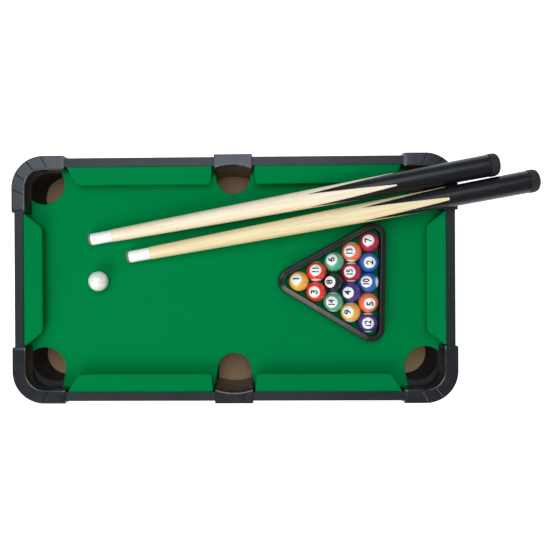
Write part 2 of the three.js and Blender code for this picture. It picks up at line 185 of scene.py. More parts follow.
def fan(bm, loop, point, material=0):
    """Closes a loop with triangles that meet at a point."""
    tip = bm.verts.new(point)
    for here, there in zip(loop, loop[1:] + loop[:1]):
        face = bm.faces.new((here, there, tip))
        face.material_index = material


def polar(angle, radius=1.0):
    return Vector((radius * math.cos(angle), radius * math.sin(angle)))


def arc(centre, radius, start, end, steps):
    """Points of a circle from one angle to another."""
    centre = Vector(centre)
    return [centre + polar(start + (end - start) * i / steps, radius) for i in range(steps + 1)]


def rounded(corners, radii, steps=4):
    """A closed outline with a round arc, drawn as a quadratic curve, at each corner."""
    outline = []
    for i, corner in enumerate(corners):
        corner = Vector(corner)
        before = Vector(corners[i - 1]) - corner
        after = Vector(corners[(i + 1) % len(corners)]) - corner
        start = corner + before.normalized() * radii[i]
        end = corner + after.normalized() * radii[i]
        for step in range(steps + 1):
            t = step / steps
            outline.append(start * (1 - t) ** 2 + corner * 2 * t * (1 - t) + end * t**2)
    return outline


def filled_in(outline, spacing):
    """The same closed outline with extra points, so that none are further apart than spacing."""
    points = []
    for here, there in zip(outline, outline[1:] + outline[:1]):
        parts = max(1, math.ceil((there - here).length / spacing))
        points += [here.lerp(there, part / parts) for part in range(parts)]
    return points


def turned_loops(bm, profile, sides):
    """A ring of vertices about Z for each (radius, height) point."""
    loops = []
    for radius, height in profile:
        ring = [polar(math.tau * side / sides, radius) for side in range(sides)]
        loops.append(add_loop(bm, [(p.x, p.y, height) for p in ring]))
    return loops


def turned(bm, profile, sides=48):
    """A solid of revolution about Z from (radius, height) points that start and end on the axis."""
    loops = turned_loops(bm, profile[1:-1], sides)
    join_loops(bm, loops)
    fan(bm, loops[0][::-1], (0, 0, profile[0][1]))
    fan(bm, loops[-1], (0, 0, profile[-1][1]))


def plate(bm, outlines, profile):
    """A flat piece. Each outline is a list of (point, outward normal, share), and the profile
    gives the (offset, height) points of its edge for a share, from the top face to the bottom."""
    rims = []
    for outline in outlines:
        edges = [profile(share) for _, _, share in outline]
        loops = []
        for level in range(len(edges[0])):
            ring = []
            for (point, normal, _), edge in zip(outline, edges):
                offset, height = edge[level]
                ring.append((*(point + normal * offset), height))
            loops.append(add_loop(bm, ring))
        join_loops(bm, loops)
        rims.append((loops[0], loops[-1]))
    for face in (0, 1):
        loops = [rim[face] for rim in rims]
        edges = [bm.edges.get(pair) for loop in loops for pair in zip(loop, loop[1:] + loop[:1])]
        bmesh.ops.triangle_fill(bm, edges=edges, use_beauty=True, normal=(0, 0, 1 - 2 * face))


def bevelled(bottom, top, bevel):
    """An edge profile for a plate with small round edges."""
    side = [
        (-3 * bevel, top),
        (-bevel, top),
        (-0.3 * bevel, top - 0.3 * bevel),
        (0, top - bevel),
        (0, bottom + bevel),
        (-0.3 * bevel, bottom + 0.3 * bevel),
        (-bevel, bottom),
        (-3 * bevel, bottom),
    ]
    return lambda share: side


# ---- Materials ------------------------------------------------------------------------------


class Look:
    """A material of nodes round one Principled shader. Noise scales are in waves per metre."""

    def __init__(self, name, **sockets):
        self.material = bpy.data.materials.new(name)
        self.material.use_nodes = True
        self.tree = self.material.node_tree
        self.shader = self.tree.nodes["Principled BSDF"]
        self.place = self.tree.nodes.new("ShaderNodeTexCoord").outputs["Object"]
        for socket, value in sockets.items():
            self.shader.inputs[socket.replace("_", " ")].default_value = value

    def add(self, kind, sockets, **settings):
        """Adds a node whose sockets, by name or number, take a value or a link."""
        node = self.tree.nodes.new(kind)
        for setting, value in settings.items():
            setattr(node, setting, value)
        for socket, value in sockets.items():
            if isinstance(value, bpy.types.NodeSocket):
                self.tree.links.new(value, node.inputs[socket])
            else:
                node.inputs[socket].default_value = value
        return node

    def noise(self, scale, detail=3.0, stretch=(1, 1, 1), distortion=0.0):
        spread = self.add("ShaderNodeMapping", {"Vector": self.place, "Scale": stretch})
        sockets = {
            "Vector": spread.outputs["Vector"],
            "Scale": scale,
            "Detail": detail,
            "Distortion": distortion,
        }
        return self.add("ShaderNodeTexNoise", sockets).outputs["Fac"]

    def ranged(self, value, from_low, from_high, to_low, to_high):
        sockets = {0: value, 1: from_low, 2: from_high, 3: to_low, 4: to_high}
        return self.add("ShaderNodeMapRange", sockets).outputs["Result"]

    def mixed(self, first, second, factor):
        """A colour between two, which are colours or links."""
        sockets = {0: factor, 6: first, 7: second}
        return self.add("ShaderNodeMix", sockets, data_type="RGBA").outputs[2]

    def blended(self, dark, light, value, low, high):
        """A colour that goes from dark to light as a value goes from low to high."""
        return self.mixed(dark, light, self.ranged(value, low, high, 0, 1))

    def calculated(self, operation, first, second):
        return self.add("ShaderNodeMath", {0: first, 1: second}, operation=operation).outputs[0]

    def colour(self, link):
        self.tree.links.new(link, self.shader.inputs["Base Color"])

    def roughness(self, link):
        self.tree.links.new(link, self.shader.inputs["Roughness"])

    def bump(self, heights):
        """Stacks bumps, each a (height link, distance in metres)."""
        normal = None
        for height, distance in heights:
            sockets = {"Height": height, "Distance": distance, "Strength": 1.0}
            if normal is not None:
                sockets["Normal"] = normal
            normal = self.add("ShaderNodeBump", sockets).outputs["Normal"]
        self.tree.links.new(normal, self.shader.inputs["Normal"])


def colour(red, green, blue):
    """A linear colour from the usual 0 to 255 screen values."""

    def linear(value):
        share = value / 255
        return share / 12.92 if share <= 0.04045 else ((share + 0.055) / 1.055) ** 2.4

    return (linear(red), linear(green), linear(blue), 1.0)


def felt():
    """Short-napped green cloth: matted fibres over a faint cloudy shade."""
    look = Look("green_felt", Roughness=0.95, Sheen_Weight=0.1, Sheen_Roughness=0.6)
    look.shader.inputs["Specular IOR Level"].default_value = 0.02
    look.shader.inputs["Sheen Tint"].default_value = colour(0, 200, 110)
    fibres = look.noise(1500, detail=5, distortion=1.2)
    clouds = look.noise(28, detail=2)
    fine = look.blended(colour(0, 117, 59), colour(0, 137, 73), fibres, 0.3, 0.7)
    deep = look.ranged(clouds, 0.3, 0.7, 0.0, 0.22)
    look.colour(look.mixed(fine, colour(0, 121, 62), deep))
    look.bump([(look.noise(2600, detail=4, distortion=0.8), 0.12 * MM), (fibres, 0.08 * MM)])
    return look.material


def moulded_plastic(name, dark, light, shine):
    """Satin moulded plastic with a fine grain and faint handling marks."""
    look = Look(name, Roughness=shine)
    grain = look.noise(3200, detail=2)
    marks = look.noise(60, detail=4, distortion=0.6)
    look.colour(look.blended(dark, light, marks, 0.35, 0.75))
    look.roughness(look.ranged(marks, 0.3, 0.7, shine - 0.05, shine + 0.07))
    look.bump([(grain, 0.03 * MM)])
    return look.material


def laminate(name, stretch):
    """Black foil over board, embossed with a long wood pore that follows the piece."""
    look = Look(name, Roughness=0.36)
    look.shader.inputs["Specular IOR Level"].default_value = 0.25
    pores = look.noise(1800, detail=3, stretch=stretch)
    clouds = look.noise(20, detail=2)
    look.colour(look.blended(colour(30, 35, 37), colour(40, 46, 48), pores, 0.35, 0.7))
    look.roughness(look.ranged(clouds, 0.3, 0.7, 0.27, 0.36))
    look.bump([(pores, 0.05 * MM)])
    return look.material


def hardboard():
    """Pressed brown fibre: smooth on top, with the press screen's print on its underside."""
    look = Look("pressed_hardboard", Roughness=0.7)
    fibres = look.noise(700, detail=6, distortion=2.0)
    clouds = look.noise(45, detail=3)
    flecks = look.ranged(look.noise(1600, detail=2), 0.66, 0.74, 0, 0.6)
    brown = look.blended(colour(150, 118, 86), colour(192, 154, 116), fibres, 0.35, 0.65)
    brown = look.mixed(brown, colour(162, 128, 94), look.ranged(clouds, 0.3, 0.7, 0, 0.6))
    look.colour(look.mixed(brown, colour(96, 68, 44), flecks))
    wave = {"Vector": look.place, "Scale": 160.0}
    across = look.add("ShaderNodeTexWave", wave, bands_direction="X").outputs["Fac"]
    along = look.add("ShaderNodeTexWave", wave, bands_direction="Y").outputs["Fac"]
    screen = look.calculated("MULTIPLY", across, along)
    geometry = look.tree.nodes.new("ShaderNodeNewGeometry")
    facing = look.add("ShaderNodeSeparateXYZ", {"Vector": geometry.outputs["Normal"]}).outputs["Z"]
    below = look.ranged(facing, -0.9, -0.5, 1, 0)
    look.bump([(fibres, 0.05 * MM), (look.calculated("MULTIPLY", screen, below), 0.5 * MM)])
    return look.material


def fibreboard():
    """Raw medium-density board."""
    look = Look("raw_fibreboard", Roughness=0.85)
    fibres = look.noise(900, detail=5, distortion=1.0)
    look.colour(look.blended(colour(150, 116, 76), colour(184, 148, 104), fibres, 0.3, 0.7))
    look.bump([(fibres, 0.08 * MM)])
    return look.material


def liner_board():
    """Dark pocket lining with faint upright scuffs."""
    look = Look("pocket_lining", Roughness=0.7)
    scuffs = look.noise(500, detail=4, stretch=(1, 1, 0.08))
    look.colour(look.blended(colour(22, 24, 25), colour(38, 40, 42), scuffs, 0.4, 0.8))
    look.bump([(scuffs, 0.06 * MM)])
    return look.material


def rubber():
    look = Look("black_rubber_finish", Roughness=0.75)
    dust = look.noise(1200, detail=4)
    look.colour(look.blended(colour(24, 24, 25), colour(40, 40, 41), dust, 0.45, 0.8))
    look.bump([(dust, 0.05 * MM)])
    return look.material


def screw_steel():
    look = Look("screw_steel_finish", Metallic=1.0, Roughness=0.35)
    lathe = look.noise(900, detail=3, stretch=(1, 1, 4))
    look.colour(look.blended(colour(150, 150, 152), colour(196, 196, 198), lathe, 0.3, 0.7))
    look.roughness(look.ranged(lathe, 0.3, 0.7, 0.28, 0.45))
    look.bump([(lathe, 0.02 * MM)])
    return look.material


def cue_wood(name, pale, warm):
    """Straight-grained pale wood under clear lacquer, with the grain along local Z."""
    look = Look(name, Roughness=0.5, Coat_Weight=0.08, Coat_Roughness=0.25)
    grain = look.noise(650, detail=4, stretch=(1, 1, 0.025), distortion=0.3)
    streaks = look.noise(160, detail=3, stretch=(1, 1, 0.03))
    pores = look.ranged(look.noise(2400, detail=2, stretch=(1, 1, 0.04)), 0.62, 0.75, 0, 0.35)
    wood = look.blended(pale, warm, grain, 0.35, 0.68)
    wood = look.mixed(wood, warm, look.ranged(streaks, 0.45, 0.75, 0, 0.7))
    brown = tuple(channel * 0.6 for channel in warm[:3]) + (1.0,)
    look.colour(look.mixed(wood, brown, pores))
    look.bump([(grain, 0.02 * MM)])
    return look.material


def butt_lacquer():
    """Glossy black lacquer, a little wavy from the brush."""
    look = Look("black_cue_lacquer", Roughness=0.3)
    look.shader.inputs["Specular IOR Level"].default_value = 0.35
    waves = look.noise(120, detail=2, stretch=(1, 1, 0.3))
    rubs = look.noise(900, detail=3, stretch=(1, 1, 0.1))
    look.colour(look.blended(colour(18, 19, 24), colour(27, 28, 34), rubs, 0.4, 0.8))
    look.roughness(look.ranged(rubs, 0.3, 0.7, 0.26, 0.36))
    look.bump([(waves, 0.04 * MM)])
    return look.material


def ferrule_plastic():
    look = Look("ferrule_white", Roughness=0.3)
    cloud = look.noise(300, detail=3)
    look.colour(look.blended(colour(254, 254, 251), colour(248, 247, 242), cloud, 0.4, 0.8))
    look.bump([(cloud, 0.02 * MM)])
    return look.material


def tip_leather():
    look = Look("tip_leather", Roughness=0.85)
    hide = look.noise(1100, detail=5, distortion=1.0)
    look.colour(look.blended(colour(146, 92, 86), colour(190, 134, 126), hide, 0.3, 0.7))
    look.bump([(hide, 0.12 * MM)])
    return look.material


def ball_resin(name, tone):
    """Polished resin whose pigment is very slightly cloudy."""
    look = Look(name, Roughness=0.22, Coat_Weight=0.6, Coat_Roughness=0.06)
    cloud = look.noise(160, detail=3, distortion=0.8)
    deeper = tuple(channel * 0.86 for channel in tone[:3]) + (1.0,)
    look.colour(look.blended(tone, deeper, cloud, 0.35, 0.75))
    look.roughness(look.ranged(cloud, 0.3, 0.7, 0.18, 0.28))
    return look.material


FELT = felt()
CAP_PLASTIC = moulded_plastic("cap_plastic", colour(26, 29, 33), colour(34, 37, 41), 0.18)
RACK_PLASTIC = moulded_plastic("rack_moulding_plastic", colour(26, 25, 28), colour(34, 32, 35), 0.2)
LONG_LAMINATE = laminate("laminate_along_x", (0.04, 1, 1))
END_LAMINATE = laminate("laminate_along_y", (1, 0.04, 1))
HARDBOARD = hardboard()
FIBREBOARD = fibreboard()
LINING = liner_board()
RUBBER = rubber()
STEEL = screw_steel()
LACQUER = butt_lacquer()
FERRULE = ferrule_plastic()
LEATHER = tip_leather()
BALL_WHITE = ball_resin("ball_white_resin", colour(248, 248, 244))
INK = ball_resin("ball_number_ink", colour(28, 26, 30))

# ---- Camera, light and floor ----------------------------------------------------------------

CAMERA_PLACE = Vector((17.3 * MM, 6.3 * MM, 746.5 * MM))
CAMERA_TURN = (-0.15, 0.95, -0.32)
CAMERA_LENS = 37.86
CAMERA_SHIFT = (0.0653, -0.0004)
# Strength of the white surroundings, level with the floor and up to where they are dim.
HORIZON = 0.9
CEILING = 0.25
CEILING_FROM = 0.25
FLOOR_REACH = 4
FLOOR_DROP = 0.05 * MM


def add_camera():
    camera = bpy.data.objects.new("camera", bpy.data.cameras.new("camera"))
    camera.location = MIDDLE + CAMERA_PLACE
    camera.rotation_euler = [math.radians(turn) for turn in CAMERA_TURN]
    camera.data.sensor_width = 36
    camera.data.lens = CAMERA_LENS
    camera.data.shift_x, camera.data.shift_y = CAMERA_SHIFT
    scene.collection.objects.link(camera)
    scene.camera = camera


def add_softbox(name, place, wide, high, power, tint):
    """A softbox that faces the middle of the table."""
    light = bpy.data.lights.new(name, "AREA")
    light.color = tint
    light.shape = "RECTANGLE"
    light.size = wide
    light.size_y = high
    light.energy = power
    softbox = bpy.data.objects.new(name, light)
    softbox.location = MIDDLE + Vector(place)
    softbox.rotation_euler = (-Vector(place)).to_track_quat("-Z", "Y").to_euler()
    softbox.visible_camera = False
    scene.collection.objects.link(softbox)


def add_floor():
    """A pale floor that also glows a little, as a lit studio table does."""
    bm = bmesh.new()
    bmesh.ops.create_grid(bm, x_segments=1, y_segments=1, size=FLOOR_REACH)
    floor = new_object("floor", bm)
    look = Look("pale_floor", Roughness=0.9, Emission_Strength=0.8)
    look.shader.inputs["Emission Color"].default_value = (1, 1, 1, 1)
    look.shader.inputs["Specular IOR Level"].default_value = 0.1
    look.colour(look.mixed(colour(236, 236, 236), colour(244, 244, 244), look.noise(3)))
    floor.data.materials.append(look.material)
    floor.location.z = -FLOOR_DROP


def add_studio():
    """White walls, a dim ceiling, softboxes over the back and the middle, and a key from the
    front left."""
    world = bpy.data.worlds.new("studio")
    world.use_nodes = True
    nodes, links = world.node_tree.nodes, world.node_tree.links
    directions = nodes.new("ShaderNodeTexCoord").outputs["Generated"]
    split = nodes.new("ShaderNodeSeparateXYZ")
    links.new(directions, split.inputs["Vector"])
    falloff = nodes.new("ShaderNodeMapRange")
    links.new(split.outputs["Z"], falloff.inputs["Value"])
    falloff.inputs["From Max"].default_value = CEILING_FROM
    falloff.inputs["To Min"].default_value = HORIZON
    falloff.inputs["To Max"].default_value = CEILING
    links.new(falloff.outputs["Result"], nodes["Background"].inputs["Strength"])
    nodes["Background"].inputs["Color"].default_value = (1, 1, 1, 1)
    scene.world = world
    scene.view_settings.view_transform = "Standard"
    add_softbox("back_softbox", (-0.15, 0.5, 1.6), 1.5, 0.8, 10.5, (0.84, 0.96, 1.1))
    add_softbox("top_softbox", (0, 0, 2.0), 0.7, 0.5, 6, (1, 1, 1))
    add_softbox("key_softbox", (-0.67, -1.06, 0.99), 1.0, 1.0, 13.5, (1.03, 1.0, 0.96))
    add_floor()


# ---- Table frame ----------------------------------------------------------------------------


def finish_node(node, look, bevel=None):
    """Gives a kept CAD node its material and, if asked, fine round edges."""
    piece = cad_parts[node]
    if not piece.material_slots:
        piece.data.materials.append(look)
    for material_slot in piece.material_slots:
        material_slot.material = look
    if bevel:
        edges = piece.modifiers.new("round_edges", "BEVEL")
        edges.width = bevel
        edges.segments = 3
        edges.limit_method = "ANGLE"


def rounded_rectangle(half_x, half_y, radius, steps=16):
    """An outline for plate(), with outward normals."""
    outline = []
    for side_x, side_y, start in ((1, 1, 0), (-1, 1, 90), (-1, -1, 180), (1, -1, 270)):
        centre = Vector((side_x * (half_x - radius), side_y * (half_y - radius)))
        for step in range(steps + 1):
            normal = polar(math.radians(start + 90 * step / steps))
            outline.append((centre + normal * radius, normal, 0))
    return outline


def hole(centre, radius, steps=24):
    """A round hole for plate(), whose outward normals point to its middle."""
    turns = [polar(-math.tau * step / steps) for step in range(steps)]
    return [(centre + turn * radius, -turn, 0) for turn in turns]


def add_bottom_board():
    bm = bmesh.new()
    outlines = [rounded_rectangle(FRAME_HALF.x, FRAME_HALF.y, BOARD_RADIUS)]
    for corner, _, _ in CORNERS:
        outlines.append(hole(middle_of(f"foot_{corner}").xy, SCREW_RADIUS + HOLE_PLAY))
    low, high = box("bottom_board")
    plate(bm, outlines, bevelled(low.z, high.z, 0.3 * MM))
    add_piece(bm, "bottom_hardboard", "table", [HARDBOARD], ["bottom_board"])


def add_frame():
    for side, _ in SIDES:
        finish_node(f"apron_{side}", LONG_LAMINATE, bevel=0.7 * MM)
    for end, _ in ENDS:
        finish_node(f"apron_{end}", END_LAMINATE, bevel=0.7 * MM)
        finish_node(f"bed_bearer_{end}", FIBREBOARD, bevel=0.4 * MM)


# ---- Playfield ------------------------------------------------------------------------------


def eased(distance, length):
    """0 at no distance, rising smoothly to 1 over a length."""
    share = min(1.0, max(0.0, distance / length))
    return share * share * (3 - 2 * share)


def mouth(path):
    """Part of a plate() outline from (point, normal) pairs: the cloth's edge turns down inside a
    mouth, but not at the two ends, where it meets a rail."""
    first, last = path[0][0], path[-1][0]
    outline = []
    for point, normal in path:
        from_end = min((point - first).length, (point - last).length)
        outline.append((point, normal, eased(from_end, MOUTH_EASE)))
    return outline


def round_mouth(centre, radius, start, end, steps=40):
    points = arc(centre, radius, start, end, steps)
    return [(point, (centre - point).normalized()) for point in points]


def straight_mouth(start, end, steps=8):
    """A straight side of a mouth that lies on the left of the way from start to end."""
    way = (end - start).normalized()
    return [(start.lerp(end, step / steps), Vector((way.y, -way.x))) for step in range(steps + 1)]


def corner_mouth(side_x, side_y, wider):
    """The mouth of a corner pocket, from the playfield's end to its long side."""
    radius = CORNER_MOUTH_RADIUS + wider
    centre = Vector((CORNER_MOUTH.x, CORNER_MOUTH.y + side_y * CORNER_SHIFT))
    start = -math.acos(min(1.0, (FIELD_HALF.x - centre.x) / radius))
    path = round_mouth(centre, radius, start, -math.pi)
    rail = Vector((CORNER_MOUTH_RAIL - wider, FIELD_HALF.y))
    path += straight_mouth(path[-1][0], rail)[1:]
    path[0] = (path[0][0], Vector((1, 0)))
    path[-1] = (path[-1][0], Vector((0, 1)))
    sides = Vector((side_x, side_y))
    placed = [(point * sides, normal * sides) for point, normal in path]
    return mouth(placed if side_x * side_y > 0 else placed[::-1])


def middle_mouth(side_y, wider):
    """The mouth of a middle pocket, from one side of the table's middle to the other."""
    radius = MIDDLE_MOUTH_RADIUS + wider
    centre = Vector((0, MIDDLE_MOUTH_Y + side_y * MIDDLE_SHIFT))
    rail = Vector((MIDDLE_MOUTH_RAIL + wider, FIELD_HALF.y))
    path = [(point, -normal) for point, normal in straight_mouth(centre + Vector((radius, 0)), rail)]
    path = path[:0:-1] + round_mouth(centre, radius, 0, -math.pi)
    path += straight_mouth(centre - Vector((radius, 0)), rail * Vector((-1, 1)))[1:]
    path[0] = (path[0][0], Vector((0, 1)))
    path[-1] = (path[-1][0], Vector((0, 1)))
    return mouth([(point * side_y, normal * side_y) for point, normal in path])


def playfield_outline(wider=0.0):
    """The playfield's outline, anticlockwise from its right end."""
    return (
        corner_mouth(1, 1, wider)
        + middle_mouth(1, wider)
        + corner_mouth(-1, 1, wider)
        + corner_mouth(-1, -1, wider)
        + middle_mouth(-1, wider)
        + corner_mouth(1, -1, wider)
    )


def cloth_edge(share):
    """The cloth's edge: cut square where it meets a rail, and turned down inside a mouth."""
    top, under = CLOTH_TOP, CLOTH_TOP - CLOTH_THICKNESS
    turned_down = [
        (-2.2 * MM, top),
        (-1.5 * MM, top),
        (-0.9 * MM, top - 0.15 * MM),
        (-0.35 * MM, top - 0.6 * MM),
        (-0.05 * MM, top - 1.3 * MM),
        (0, top - 2 * MM),
        (0, BOARD_BOTTOM + 0.5 * MM),
        (-0.4 * MM, BOARD_BOTTOM + 0.5 * MM),
        (-0.4 * MM, top - 2 * MM),
        (-0.5 * MM, top - 1.4 * MM),
        (-0.8 * MM, under - 0.35 * MM),
        (-1.1 * MM, under - 0.1 * MM),
        (-1.5 * MM, under),
        (-2.2 * MM, under),
    ]
    cut = []
    for level, (offset, _) in enumerate(turned_down):
        cut.append((offset, top if level < len(turned_down) / 2 else under))
    return [Vector(a).lerp(Vector(b), share) for a, b in zip(cut, turned_down)]


def add_playfield():
    bm = bmesh.new()
    plate(bm, [playfield_outline(BOARD_SET_BACK)], bevelled(BOARD_BOTTOM, BOARD_TOP, 0.3 * MM))
    add_piece(bm, "playfield_panel", "table", [FIBREBOARD], ["playfield_board"])

    bm = bmesh.new()
    outline = playfield_outline()
    plate(bm, [outline], cloth_edge)
    cloth = add_piece(bm, "playfield_felt", "table", [FELT], ["playfield_cloth"])


# ---- Corner outlines and pocket liners ------------------------------------------------------


def to_corner(start, angle, radius):
    """Where a ray from inside a corner of the frame meets the outline of a given radius, which
    is round about the middle of the corner caps' arcs and straight along the rails."""
    centre = CORNER_CAP_HIGH.xy - Vector((CAP_RADIUS, CAP_RADIUS))
    ray = polar(angle)
    if ray.y > 1e-6:
        to_side = start + ray * ((centre.y + radius - start.y) / ray.y)
        if to_side.x <= centre.x:
            return to_side
    if ray.x > 1e-6:
        to_end = start + ray * ((centre.x + radius - start.x) / ray.x)
        if to_end.y <= centre.y:
            return to_end
    back = start - centre
    half = back.dot(ray)
    return start + ray * (math.sqrt(half * half - back.length_squared + radius**2) - half)


def corner_lining(side_y):
    """A round lining whose top has a collar that fills the corner of the frame outside it."""
    low, high = box("corner_liner_back_right")
    centre = Vector((CORNER_LINER.x, CORNER_LINER.y + side_y * CORNER_SHIFT))
    wall = CORNER_LINER_RADIUS + LINER_WALL
    collar = high.z - LINER_WALL
    rail_radius = FIELD_HALF.x - CORNER_CAP_HIGH.x + CAP_RADIUS
    edge = 0.3 * MM
    far = Vector((COLLAR_END, FIELD_HALF.y)) - centre
    end = math.atan2(far.y, far.x)
    stations = []
    for side in range(49):
        angle = end * side / 48
        stations.append((angle, (to_corner(centre, angle, rail_radius) - centre).length))
    for side in range(1, 60):
        stations.append((end + (math.tau - end) * side / 60, wall))
    loops = [[] for _ in range(8)]
    for angle, reach in stations:
        section = [
            (CORNER_LINER_RADIUS, low.z),
            (wall, low.z),
            (wall, collar),
            (reach, collar),
            (reach, high.z - edge),
            (reach - edge, high.z),
            (CORNER_LINER_RADIUS + edge, high.z),
            (CORNER_LINER_RADIUS, high.z - edge),
        ]
        for loop, (distance, height) in zip(loops, section):
            loop.append((*(centre + polar(angle, distance)), height))
    bm = bmesh.new()
    loops = [add_loop(bm, loop) for loop in loops]
    join_loops(bm, loops + loops[:1])
    return bm


def middle_lining(side_y):
    """A lining that is round towards the middle of the table and open towards the cap."""
    low, high = box("middle_liner_back")
    centre = Vector((0, MIDDLE_MOUTH_Y + side_y * MIDDLE_SHIFT))
    end = MIDDLE_CAP_LOW.y - LINER_GAP

    def trough(radius, facing):
        points = [(Vector((radius, end)), Vector((facing, 1)).normalized(), 0)]
        for point in arc(centre, radius, 0, -math.pi, 48):
            points.append((point, (point - centre).normalized() * facing, 0))
        points.append((Vector((-radius, end)), Vector((-facing, 1)).normalized(), 0))
        return points

    bm = bmesh.new()
    outline = trough(MIDDLE_LINER_RADIUS + LINER_WALL, 1) + trough(MIDDLE_LINER_RADIUS, -1)[::-1]
    plate(bm, [outline], bevelled(low.z, high.z, 0.15 * MM))
    return bm


def add_liners():
    for corner, side_x, side_y in CORNERS:
        bm = corner_lining(side_y)
        mirror(bm, side_x, side_y)
        node = f"corner_liner_{corner}"
        add_piece(bm, f"corner_lining_{corner}", "table", [LINING], [node])
    for side, side_y in SIDES:
        bm = middle_lining(side_y)
        mirror(bm, 1, side_y)
        node = f"middle_liner_{side}"
        add_piece(bm, f"middle_lining_{side}", "table", [LINING], [node])


# ---- Cushions -------------------------------------------------------------------------------


def cushion_end(depth, rail, nose):
    """How far along a cushion its end lies at a distance from the rail: a straight mitre from
    rail to nose, with a round corner at the nose."""
    mitre = Vector((rail - nose, -depth)).normalized()
    inward = 1 if nose > rail else -1
    corner = Vector((nose, depth))
    start = corner + mitre * CUSHION_CORNER
    end = corner + Vector((inward * CUSHION_CORNER, 0))

    def place(distance):
        if distance <= start.y:
            return rail + (nose - rail) * distance / depth
        t = 1 - math.sqrt(max(0.0, (depth - distance) / (depth - start.y)))
        return start.x * (1 - t) ** 2 + corner.x * 2 * t * (1 - t) + end.x * t**2

    return place


def cushion_section(depth, height):
    """Closed section of a wrapped cushion: (distance from the rail, height over the cloth)."""
    corners = [
        (0, 0),
        (CUSHION_FOOT, 0),
        (depth, CUSHION_NOSE_BOTTOM),
        (depth, CUSHION_NOSE_TOP),
        (0, height),
    ]
    radii = [0.3 * MM, 0.8 * MM, 1.8 * MM, 2.0 * MM, 0.7 * MM]
    return filled_in(rounded(corners, radii, steps=5), 1.3 * MM)


def cushion_mesh(depth, height, rail, nose):
    """A cushion along +X from the rail at y = 0, between the given pairs of end places."""
    bm = bmesh.new()
    section = cushion_section(depth, height)
    heart = sum(section, Vector((0, 0))) / len(section)
    start = cushion_end(depth, rail[0], nose[0])
    end = cushion_end(depth, rail[1], nose[1])
    rounding = 1.1 * MM
    shrinks = [0.35, 0.7, 0.9, 0.93, 0.96, 0.985, 1.0]
    stretches = 24

    def pulled_in(shrink):
        lean = max(0.0, (shrink - 0.9) / 0.1)
        return rounding * (1 - math.sqrt(max(0.0, 1 - lean * lean)))

    def end_loop(place, shrink, direction):
        points = [heart.lerp(point, shrink) for point in section]
        return [(place(p.x) + direction * pulled_in(shrink), p.x, p.y) for p in points]

    def station(share):
        """The section part of the way along, where the staples hold the cloth a little uneven."""
        slack = CLOTH_SLACK * math.sin(share * 31.0) * math.sin(share * math.pi)
        loop = []
        for p in section:
            first, last = start(p.x) + rounding, end(p.x) - rounding
            pull = (slack - CLOTH_SLACK) * eased(p.x, depth)
            loop.append((first + (last - first) * share, p.x + pull, p.y))
        return loop

    loops = [add_loop(bm, end_loop(start, shrink, 1)) for shrink in shrinks]
    loops += [add_loop(bm, station(i / stretches)) for i in range(1, stretches)]
    loops += [add_loop(bm, end_loop(end, shrink, -1)) for shrink in reversed(shrinks)]
    join_loops(bm, loops)
    fan(bm, loops[0], (start(heart.x), heart.x, heart.y))
    fan(bm, loops[-1], (end(heart.x), heart.x, heart.y))
    bmesh.ops.translate(bm, vec=(0, 0, CLOTH_TOP), verts=bm.verts)
    return bm


def add_cushion(bm, node):
    cushion = add_piece(bm, f"wrapped_{node}", "table", [FELT], [node])


def add_cushions():
    depth = FIELD_HALF.y - CUSHION_LOW.y
    height = CUSHION_HIGH.z - CLOTH_TOP
    for corner, side_x, side_y in CORNERS:
        bm = cushion_mesh(depth, height, (CUSHION_LOW.x, CUSHION_HIGH.x), LONG_CUSHION_NOSE)
        mirror(bm, side_x, -side_y)
        bmesh.ops.translate(bm, vec=(0, side_y * FIELD_HALF.y, 0), verts=bm.verts)
        add_cushion(bm, f"cushion_{corner}")
    half = box("cushion_right")[1].y
    for end, side_x in ENDS:
        nose = (-END_CUSHION_NOSE, END_CUSHION_NOSE)
        bm = cushion_mesh(depth, height, (-half, half), nose)
        turn = Matrix.Rotation(side_x * math.pi / 2, 3, "Z")
        bmesh.ops.rotate(bm, matrix=turn, verts=bm.verts)
        bmesh.ops.translate(bm, vec=(side_x * FIELD_HALF.x, 0, 0), verts=bm.verts)
        add_cushion(bm, f"cushion_{end}")


# ---- Caps -----------------------------------------------------------------------------------

CAP_CREASE = 3.4 * MM
CAP_END_DROP = 0.6 * MM
FAN_POINT = Vector((182 * MM, 70.5 * MM))
FAN_GROOVES = (25, 37, 49.5, 61.5)
FAN_FROM, FAN_TO = 12, 72
GROOVE_HALF_TURN = 0.45
GROOVE_DEPTH = 0.45 * MM
GROOVE_MARGIN = (1.9 * MM, 3.2 * MM)


def cap_section(station, foot, lip_foot):
    """Closed section of a cap at a station: a top plate with a skirt outside and a lip inside."""
    outer, inner = Vector(station["outer"]), Vector(station["inner"])
    width = (inner - outer).length
    top = CAP_TOP - station.get("drop", 0)
    sunk = top - station.get("groove", 0)
    lip = station["lip"]
    groove_from, groove_to = GROOVE_MARGIN[0], width - GROOVE_MARGIN[1]
    profile = [
        (CAP_WALL, foot),
        (0.4 * MM, foot),
        (0, foot + 0.4 * MM),
        (0, top - 1.1 * MM),
        (0.1 * MM, top - 0.65 * MM),
        (0.35 * MM, top - 0.3 * MM),
        (0.8 * MM, top - 0.05 * MM),
        (1.2 * MM, top),
        (groove_from - 0.3 * MM, top),
        (groove_from, sunk),
        ((groove_from + groove_to) / 2, sunk),
        (groove_to, sunk),
        (groove_to + 0.3 * MM, top),
        (width - 2.1 * MM, top),
        (width - 1.2 * MM, top - 0.15 * MM),
        (width - 0.5 * MM, top - 0.6 * MM),
        (width - 0.1 * MM, top - 1.3 * MM),
        (width, top - 2.2 * MM),
        (width, lip_foot + 0.3 * MM),
        (width - 0.3 * MM, lip_foot),
        (width - lip, lip_foot),
        (width - lip, RAIL_TOP),
        (CAP_WALL, RAIL_TOP),
    ]
    along = (inner - outer).normalized()
    return [(*(outer + along * across), height) for across, height in profile]


